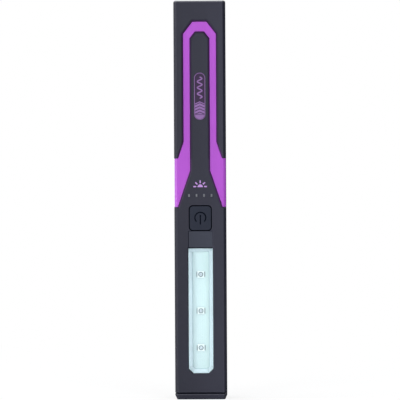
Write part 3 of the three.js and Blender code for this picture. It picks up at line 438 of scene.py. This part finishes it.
# What each material slot is made of, by the slot's name
FINISHES = {
    "black_plastic": lambda n: black_shell(
        n, (0.0185, 0.019, 0.030), purple_reflection=(0.034, 0.010, 0.052), channel_highlight=(0.026, 0.029, 0.043)
    ),
    "purple_plastic": lambda n: moulded(
        n, (0.272, 0.044, 0.375), 0.38, grain=0.004, coat=0.06, edge=1.6, shine=0.35, rim=0.45
    ),
    "button_plastic": lambda n: button_cap(n, (0.0095, 0.0125, 0.023)),
    "badge_film": lambda n: moulded(n, (0.021, 0.0085, 0.033), 0.35, grain=0.004, shine=0.25),
    "clear_plastic": lambda n: clear(n, (0.965, 0.999, 1.0)),
    "frosted_plastic": lambda n: moulded(n, (0.13, 0.135, 0.15), 0.3),
    "white_plastic": lambda n: tray_plastic(n, (0.79, 0.86, 0.92)),
    "rubber": lambda n: soft(n, (0.010, 0.010, 0.013)),
    "board_white": lambda n: solder_mask(
        n, (0.628, 0.712, 0.745), (0.60, 0.69, 0.715), right=(0.618, 0.725, 0.722)
    ),
    "board_green": lambda n: solder_mask(n, (0.012, 0.10, 0.042), (0.03, 0.2, 0.08)),
    "ceramic": lambda n: moulded(n, (0.84, 0.87, 0.89), 0.4, grain=0.003, edge=0.95),
    "led_silicone": lambda n: clear(n, (0.97, 0.985, 0.99), 0.03),
    "thermal_grey": lambda n: soft(n, (0.27, 0.33, 0.43), 0.85, 0.03),
    "aluminium": lambda n: metal(n, (0.60, 0.61, 0.63), 0.38, ALONG_LAMP),
    "steel": lambda n: metal(n, (0.56, 0.56, 0.58), 0.28, depth=0.0015),
    "spring_steel": lambda n: metal(n, (0.44, 0.44, 0.46), 0.33, ALONG_LAMP),
    "nickel": lambda n: metal(n, (0.47, 0.465, 0.45), 0.24, depth=0.002),
    "dark_steel": lambda n: metal(n, (0.10, 0.10, 0.11), 0.38),
    "chip_black": lambda n: moulded(n, (0.012, 0.013, 0.014), 0.5, grain=0.01),
    "ferrite": lambda n: soft(n, (0.05, 0.05, 0.055), 0.6, 0.03),
    "cell_sleeve": lambda n: moulded(n, (0.03, 0.16, 0.34), 0.3, coat=0.3),
    "red_wire": lambda n: soft(n, (0.48, 0.017, 0.014), 0.45, 0.01),
    "black_wire": lambda n: soft(n, (0.008, 0.0085, 0.010), 0.45, 0.01),
    # The rest are for the pieces made here
    "badge_print": lambda n: moulded(n, (0.155, 0.068, 0.225), 0.4, grain=0.003),
    "symbol_print": lambda n: moulded(n, (0.32, 0.168, 0.44), 0.45, grain=0.003),
    "solder": lambda n: metal(n, (0.19, 0.205, 0.23), 0.4, depth=0.003),
    # a thin line of painted shadow at the tray's joint
    "shadow_line": lambda n: moulded(n, (0.40, 0.52, 0.56), 0.6),
    "silk": lambda n: moulded(n, (0.52, 0.58, 0.62), 0.6),
    "cup": lambda n: moulded(n, (0.03, 0.035, 0.05), 0.35, shine=0.1),
    "die": lambda n: moulded(n, (0.62, 0.60, 0.68), 0.25),
}
materials = {name: build(name) for name, build in FINISHES.items()}


# ---- CAD pieces: finished edges and materials ----------------------------------------------------------

# How far the edges of the pieces that show are rounded
EDGE_RADIUS = {
    "front_cover": 0.22,
    "handle_cover": 0.22,
    "rear_cover": 0.22,
    "nose_cap": 0.3,
    "trim_frame": 0.16,
    "power_button": 0.2,
    "lens_window": 0.12,
    "reflector_tray": 0.1,
    "port_flap": 0.15,
    "clip_magnet": 0.12,
    "swivel_clip": 0.15,
}
DEFAULT_RADIUS = 0.06
WELD_DISTANCE = 0.002  # corners closer than this are joined
FLAT_ANGLE = 0.5  # degrees: facets that meet at less are one face
SHARP_ANGLE = 28  # degrees: edges sharper than this are rounded


def finish_cad(node):
    """Joins a CAD node's facets, rounds its edges, shades it smoothly and gives it its material."""
    obj = NODES[node]
    mesh = obj.data
    if "custom_normal" in mesh.attributes:
        mesh.attributes.remove(mesh.attributes["custom_normal"])
    mesh.polygons.foreach_set("use_smooth", [True] * len(mesh.polygons))
    if "sharp_edge" in mesh.attributes:
        mesh.attributes.remove(mesh.attributes["sharp_edge"])
    weld = obj.modifiers.new("weld", "WELD")
    weld.merge_threshold = WELD_DISTANCE * MM
    flat = obj.modifiers.new("flat", "DECIMATE")
    flat.decimate_type = "DISSOLVE"
    flat.angle_limit = math.radians(FLAT_ANGLE)
    bevel = obj.modifiers.new("edges", "BEVEL")
    bevel.width = EDGE_RADIUS.get(node, DEFAULT_RADIUS) * MM
    bevel.segments = 3
    bevel.limit_method = "ANGLE"
    bevel.angle_limit = math.radians(SHARP_ANGLE)
    bevel.harden_normals = True
    bevel.miter_outer = "MITER_ARC"
    mesh.materials.clear()
    mesh.materials.append(materials[SLOT_OF[node]])


for node in NODES:
    finish_cad(node)


# ---- Pieces made here: prints and the LEDs' details ----------------------------------------------------

TOUCHING = 0.0001  # closer than this, a point lies on a plane
PRINT = 0.03  # thickness of the prints on the badge and the front cover


class Sheet:
    """Thin flat shapes that face the front, given in millimetres as x and z, gathered into one mesh."""

    def __init__(self, front, thick):
        self.front, self.back = front, front + thick
        self.vertices, self.faces = [], []

    def shape(self, outline):
        """A filled outline, counter-clockwise as seen from the front."""
        first, count = len(self.vertices), len(outline)
        for y in (self.front, self.back):
            self.vertices += [(x * MM, y * MM, z * MM) for x, z in outline]
        self.faces.append([first + i for i in range(count)])
        self.faces.append([first + count + i for i in reversed(range(count))])
        for i in range(count):
            j = (i + 1) % count
            self.faces.append([first + i, first + count + i, first + count + j, first + j])

    def stroke(self, points, width, closed=False):
        """A closed band of even width along the points, with a flat end at each end of an open line."""
        first, count = len(self.vertices), len(points)
        for i, (x, z) in enumerate(points):
            before = points[i - 1] if closed or i else points[i]
            after = points[(i + 1) % count] if closed or i < count - 1 else points[i]
            along = Vector((after[0] - before[0], after[1] - before[1])).normalized()
            out = Vector((-along.y, along.x)) * width / 2
            for y in (self.front, self.back):
                self.vertices.append(((x + out.x) * MM, y * MM, (z + out.y) * MM))
                self.vertices.append(((x - out.x) * MM, y * MM, (z - out.y) * MM))

        def corners(i):
            """Left front, right front, left back and right back corner at a point."""
            return [first + 4 * (i % count) + k for k in range(4)]

        for i in range(count if closed else count - 1):
            (a, b, c, d), (e, f, g, h) = corners(i), corners(i + 1)
            self.faces += [[a, b, f, e], [g, h, d, c], [b, d, h, f], [e, g, c, a]]
        if not closed:
            (a, b, c, d), (e, f, g, h) = corners(0), corners(count - 1)
            self.faces += [[a, c, d, b], [f, h, g, e]]

    def piece(self, name, body, material):
        mesh = bpy.data.meshes.new(name)
        mesh.from_pydata(self.vertices, [], self.faces)
        mesh.materials.append(materials[material])
        add_piece(mesh, name, body)


def add_piece(mesh, name, body):
    """Puts a mesh in the scene, rigidly on one of the lamp's bodies."""
    obj = bpy.data.objects.new(name, mesh)
    bpy.context.scene.collection.objects.link(obj)
    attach(obj, body)
    return obj


def arc(cx, cz, radius, start, end, steps):
    """Points on a circle from start to end degrees, counter-clockwise from +X."""
    turns = [math.radians(start + (end - start) * i / steps) for i in range(steps + 1)]
    return [(cx + radius * math.cos(t), cz + radius * math.sin(t)) for t in turns]


def pill(half_width, low_z, high_z, steps=20):
    """An upright outline with straight sides and round ends, centred on the lamp."""
    top = arc(0, high_z - half_width, half_width, 0, 180, steps)
    bottom = arc(0, low_z + half_width, half_width, 180, 360, steps)
    return top + bottom


def bowl(name, centre_z, base_y, radius, material, replaced):
    """A round glass dome that bulges to the front."""
    mesh = bpy.data.meshes.new(name)
    made = bmesh.new()
    bmesh.ops.create_uvsphere(made, u_segments=48, v_segments=24, radius=radius * MM)
    behind = [vertex for vertex in made.verts if vertex.co.y > TOUCHING * MM]
    bmesh.ops.delete(made, geom=behind, context="VERTS")
    bmesh.ops.holes_fill(made, edges=[edge for edge in made.edges if edge.is_boundary])
    bmesh.ops.recalc_face_normals(made, faces=made.faces)
    for face in made.faces:
        face.smooth = len(face.verts) <= 4
    bmesh.ops.translate(made, verts=made.verts, vec=(0, base_y * MM, centre_z * MM))
    made.to_mesh(mesh)
    made.free()
    mesh.materials.append(materials[material])
    obj = add_piece(mesh, name, "housing")
    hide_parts(replaced)



def badge_print():
    """Lavender print on the badge: an outline, a foot of chevron bands, and a wave along the middle."""
    inset, line = 0.24, 0.24
    foot_inset, foot_height, rise, groove = 0.45, 8.6, 1.1, 0.42
    first_level, level_step, levels = 0.2, 1.55, 4
    wave_end, wave_reach, wave_width, turns, steps = 2.2, 1.15, 0.62, 3.5, 96
    low, high = (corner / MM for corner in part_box("badge_plate"))
    sheet = Sheet(low.y - PRINT, PRINT)
    sheet.stroke(pill(high.x - inset, low.z + inset, high.z - inset), line, closed=True)

    half = high.x - foot_inset
    foot_top = low.z + foot_height
    edges = [low.z + high.x + first_level + level_step * i for i in range(levels)]
    start = edges[0] - groove
    rounded = arc(0, low.z + high.x, half, 180, 360, 24)
    sheet.shape([(-half, start), *rounded, (half, start), (0, start + rise)])
    for bottom, top in zip(edges, [edge - groove for edge in (*edges[1:], foot_top)]):
        right = [(0, bottom + rise), (half, bottom), (half, top), (0, top + rise)]
        sheet.shape([(-half, bottom), *right, (-half, top)])

    wave_low = foot_top + wave_end
    wave_height = high.z - wave_end - wave_low
    shares = [i / steps for i in range(steps + 1)]
    aside = [wave_reach * math.sin(2 * math.pi * turns * share) for share in shares]
    sheet.stroke([(x, wave_low + wave_height * share) for x, share in zip(aside, shares)], wave_width)
    sheet.piece("badge_print", "housing", "badge_print")


def symbol_print():
    """A half sun with five rays, printed above the indicators."""
    foot, radius, ray_start, ray_end, ray_width, flat_lift = 106.45, 1.35, 2.0, 3.4, 0.6, 0.28
    sheet = Sheet(FRONT_Y / MM - PRINT, PRINT)
    sheet.shape(arc(0, foot, radius, 0, 180, 24))
    for turn in (0, 45, 90, 135, 180):
        base = foot + (flat_lift if turn in (0, 180) else 0)
        across, up = math.cos(math.radians(turn)), math.sin(math.radians(turn))
        ray = [(across * reach, base + up * reach) for reach in (ray_start, ray_end)]
        sheet.stroke(ray, ray_width)
    sheet.piece("symbol_print", "housing", "symbol_print")


def led_details(number):
    """An LED's glass dome, the reflector ring and die that show through it, its solder and board print."""
    cup_radius, cup_width, cup_height = 1.02, 0.3, 0.03
    die_half, die_height = 0.45, 0.15
    solder_aside, solder_reach, solder_width, solder_back, solder_height = 0.2, 1.3, 0.32, 0.2, 0.5
    silk_lift, silk_reach, silk_width, silk_height = 2.15, 1.6, 0.22, 0.02
    low, high = (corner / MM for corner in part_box(f"led_package_{number}"))
    middle = (low.z + high.z) / 2
    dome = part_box(f"led_dome_{number}")[1] / MM
    bowl(f"led_glass_{number}", middle, dome.y, dome.x, "led_silicone", f"led_dome_{number}")
    cup = Sheet(low.y - cup_height, cup_height)
    cup.stroke(arc(0, middle, cup_radius, 0, 360, 48)[:-1], cup_width, closed=True)
    cup.piece(f"led_cup_{number}", "housing", "cup")
    die = Sheet(low.y - die_height, die_height)
    bottom, top = middle - die_half, middle + die_half
    die.shape([(-die_half, bottom), (die_half, bottom), (die_half, top), (-die_half, top)])
    die.piece(f"led_die_{number}", "housing", "die")
    solder = Sheet(low.y + solder_back, solder_height)
    silk = Sheet(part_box("led_board")[0].y / MM - silk_height, silk_height)
    for side in (-1, 1):
        x = side * (high.x + solder_aside)
        solder.stroke([(x, middle - solder_reach), (x, middle + solder_reach)], solder_width)
        z = middle + side * silk_lift
        silk.stroke([(-silk_reach, z), (silk_reach, z)], silk_width)
    solder.piece(f"led_solder_{number}", "housing", "solder")
    silk.piece(f"board_silk_{number}", "housing", "silk")


def tray_joint_shadow():
    """A thin grey line of painted shadow along the joint between the reflector tray and the LED board."""
    flange, slope_width, corner, width, height = 1.5, 2.05, 1.17, 0.25, 0.02
    low, high = (corner_point / MM for corner_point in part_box("lens_window"))
    inset = flange + slope_width + width / 2
    half, bottom, top = high.x - inset, low.z + inset, high.z - inset
    shadow_line = Sheet(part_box("led_board")[0].y / MM - height, height)
    right = [(half - corner, bottom), (half, bottom + corner), (half, top)]
    shadow_line.stroke([*right, *((-x, z) for x, z in reversed(right))], width, closed=True)
    shadow_line.piece("tray_joint_shadow", "housing", "shadow_line")


badge_print()
symbol_print()
tray_joint_shadow()
for number in (1, 2, 3):
    led_details(number)


# ---- Stage --------------------------------------------------------------------------------------------

low, high = cad_bounds
LENGTH = high.z - low.z
MIDDLE = Vector((0, 0, LENGTH / 2))

CAMERA_AZIMUTH = math.radians(0.7)
CAMERA_ROLL = math.radians(-0.305)
CAMERA_LENS = 200
CAMERA_SENSOR = 36
SHARE_OF_FRAME = 399.1 / 400  # of the picture's height, taken up by the lamp
CAMERA_ASIDE = -0.13 * MM

FLOOR_HALF = 6
FLOOR_FADE = (0.02, 0.4)  # distances from the origin between which the floor's own grey gives way to white
FLOOR_WHITE = (0.8, 1)  # the white's share at those distances
SKY_COLOUR = (0.9, 0.95, 1.0)
SKY_STRENGTH = 0.28

# Each softbox's place, its width and height, and its power in watts
LIGHTS = {
    "key": ((-0.62, -1.05, 0.32), (0.5, 0.6), 8.5),
    "fill": ((0.5, -1.1, 0.42), (0.5, 0.5), 7),
    "left_edge": ((-1.1, -0.15, 0.2), (0.5, 0.9), 8),
    "top": ((0, -0.1, 1.1), (0.8, 0.8), 5),
    "back_left": ((-0.8, 0.9, 0.6), (0.7, 0.9), 9),
    "back_right": ((0.6, 1.0, 0.4), (0.6, 0.9), 7),
}


def floor():
    """A wide pale floor that fades to the background's white away from the lamp."""
    mesh = bpy.data.meshes.new("floor")
    corners = [(x * FLOOR_HALF, y * FLOOR_HALF, 0) for x, y in ((-1, -1), (1, -1), (1, 1), (-1, 1))]
    mesh.from_pydata(corners, [], [(0, 1, 2, 3)])
    obj = bpy.data.objects.new("floor", mesh)
    bpy.context.scene.collection.objects.link(obj)
    g = Graph("floor")
    g.set(Base_Color=(0.86, 0.86, 0.86), Roughness=0.55)
    distance = g.node("ShaderNodeVectorMath", operation="LENGTH")
    g.feed(distance.inputs[0], g.place)
    far = g.spread(distance.outputs["Value"], *FLOOR_WHITE, *FLOOR_FADE)
    seen = g.math("MULTIPLY", far, g.node("ShaderNodeLightPath").outputs["Is Camera Ray"])
    white = g.node("ShaderNodeEmission")
    both = g.node("ShaderNodeMixShader")
    g.feed(both.inputs[0], seen)
    g.feed(both.inputs[1], g.shader.outputs[0])
    g.feed(both.inputs[2], white.outputs[0])
    g.feed(g.output.inputs["Surface"], both.outputs[0])
    mesh.materials.append(g.material)


def world():
    """White to the camera, and a soft grey sky to everything that is lit by it."""
    made = bpy.data.worlds.new("studio")
    bpy.context.scene.world = made
    made.use_nodes = True
    tree = made.node_tree
    sky = tree.nodes["Background"]
    sky.inputs["Color"].default_value = (*SKY_COLOUR, 1)
    sky.inputs["Strength"].default_value = SKY_STRENGTH
    white = tree.nodes.new("ShaderNodeBackground")
    white.inputs["Color"].default_value = (1, 1, 1, 1)
    both = tree.nodes.new("ShaderNodeMixShader")
    path = tree.nodes.new("ShaderNodeLightPath")
    tree.links.new(path.outputs["Is Camera Ray"], both.inputs[0])
    tree.links.new(sky.outputs[0], both.inputs[1])
    tree.links.new(white.outputs[0], both.inputs[2])
    tree.links.new(both.outputs[0], tree.nodes["World Output"].inputs["Surface"])


def softbox(name, place, size, power):
    """A rectangular light aimed at the lamp's middle."""
    light = bpy.data.lights.new(name, "AREA")
    light.shape = "RECTANGLE"
    light.size, light.size_y = size
    light.energy = power
    obj = bpy.data.objects.new(name, light)
    obj.location = place
    obj.rotation_euler = (MIDDLE - Vector(place)).to_track_quat("-Z", "Y").to_euler()
    bpy.context.scene.collection.objects.link(obj)


def camera():
    """A long lens facing the window, turned a little to the right and rolled a little."""
    data = bpy.data.cameras.new("camera")
    data.lens = CAMERA_LENS
    data.sensor_width = CAMERA_SENSOR
    data.clip_start = 0.01
    obj = bpy.data.objects.new("camera", data)
    bpy.context.scene.collection.objects.link(obj)
    aim = Vector((CAMERA_ASIDE, FRONT_Y, LENGTH / 2))
    back = Vector((math.sin(CAMERA_AZIMUTH), -math.cos(CAMERA_AZIMUTH), 0))
    distance = CAMERA_LENS * LENGTH / (CAMERA_SENSOR * SHARE_OF_FRAME)
    turn = (-back).to_track_quat("-Z", "Y").to_matrix().to_4x4()
    roll = Matrix.Rotation(CAMERA_ROLL, 4, "Z")
    obj.matrix_world = Matrix.Translation(aim + back * distance) @ turn @ roll
    bpy.context.scene.camera = obj


floor()
world()
for name, (place, size, power) in LIGHTS.items():
    softbox(name, place, size, power)
camera()
bpy.context.scene.view_settings.view_transform = "Standard"
